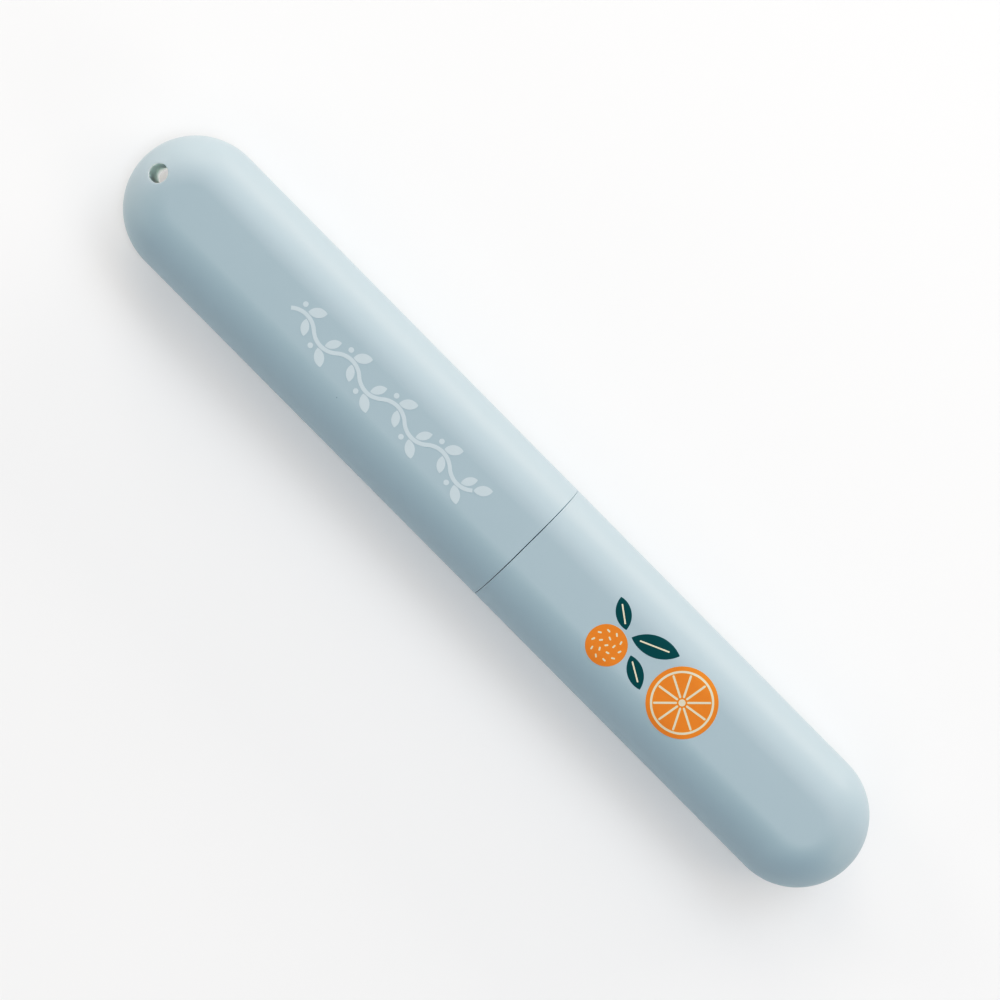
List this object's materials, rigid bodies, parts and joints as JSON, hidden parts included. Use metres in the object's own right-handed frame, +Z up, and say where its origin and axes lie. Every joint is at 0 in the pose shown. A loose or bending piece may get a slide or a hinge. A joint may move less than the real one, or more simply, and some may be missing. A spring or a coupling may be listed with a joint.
{
  "type": "travel toothbrush case",
  "caption": "Slim pill-shaped travel case for a toothbrush: the cap pulls lengthwise off a stepped neck on the longer body, which has a small hanging hole near its tip.",
  "frame": {"origin": "midway along the closed case and across it, on the lower flat that it rests on", "axes": "+X along the length, from the body's tip with the hole to the cap's tip; +Z up, through the thickness; +Y across the width"},
  "size_m": [0.2, 0.0292, 0.021],
  "materials": {
    "shell_plastic": "satin, fine spark-eroded grain, pale grey-blue",
    "print_orange": "thin matt ink, orange",
    "print_green": "thin matt ink, dark green",
    "print_white": "thin matt ink, off-white"
  },
  "bodies": {
    "body": {"body_shell": "shell_plastic"},
    "cap": {"cap_shell": "shell_plastic"}
  },
  "joints": [
    {"name": "cap_slide", "type": "slide", "parent": "body", "child": "cap", "axis": [1, 0, 0], "range_m": [0, 0.095]}
  ]
}
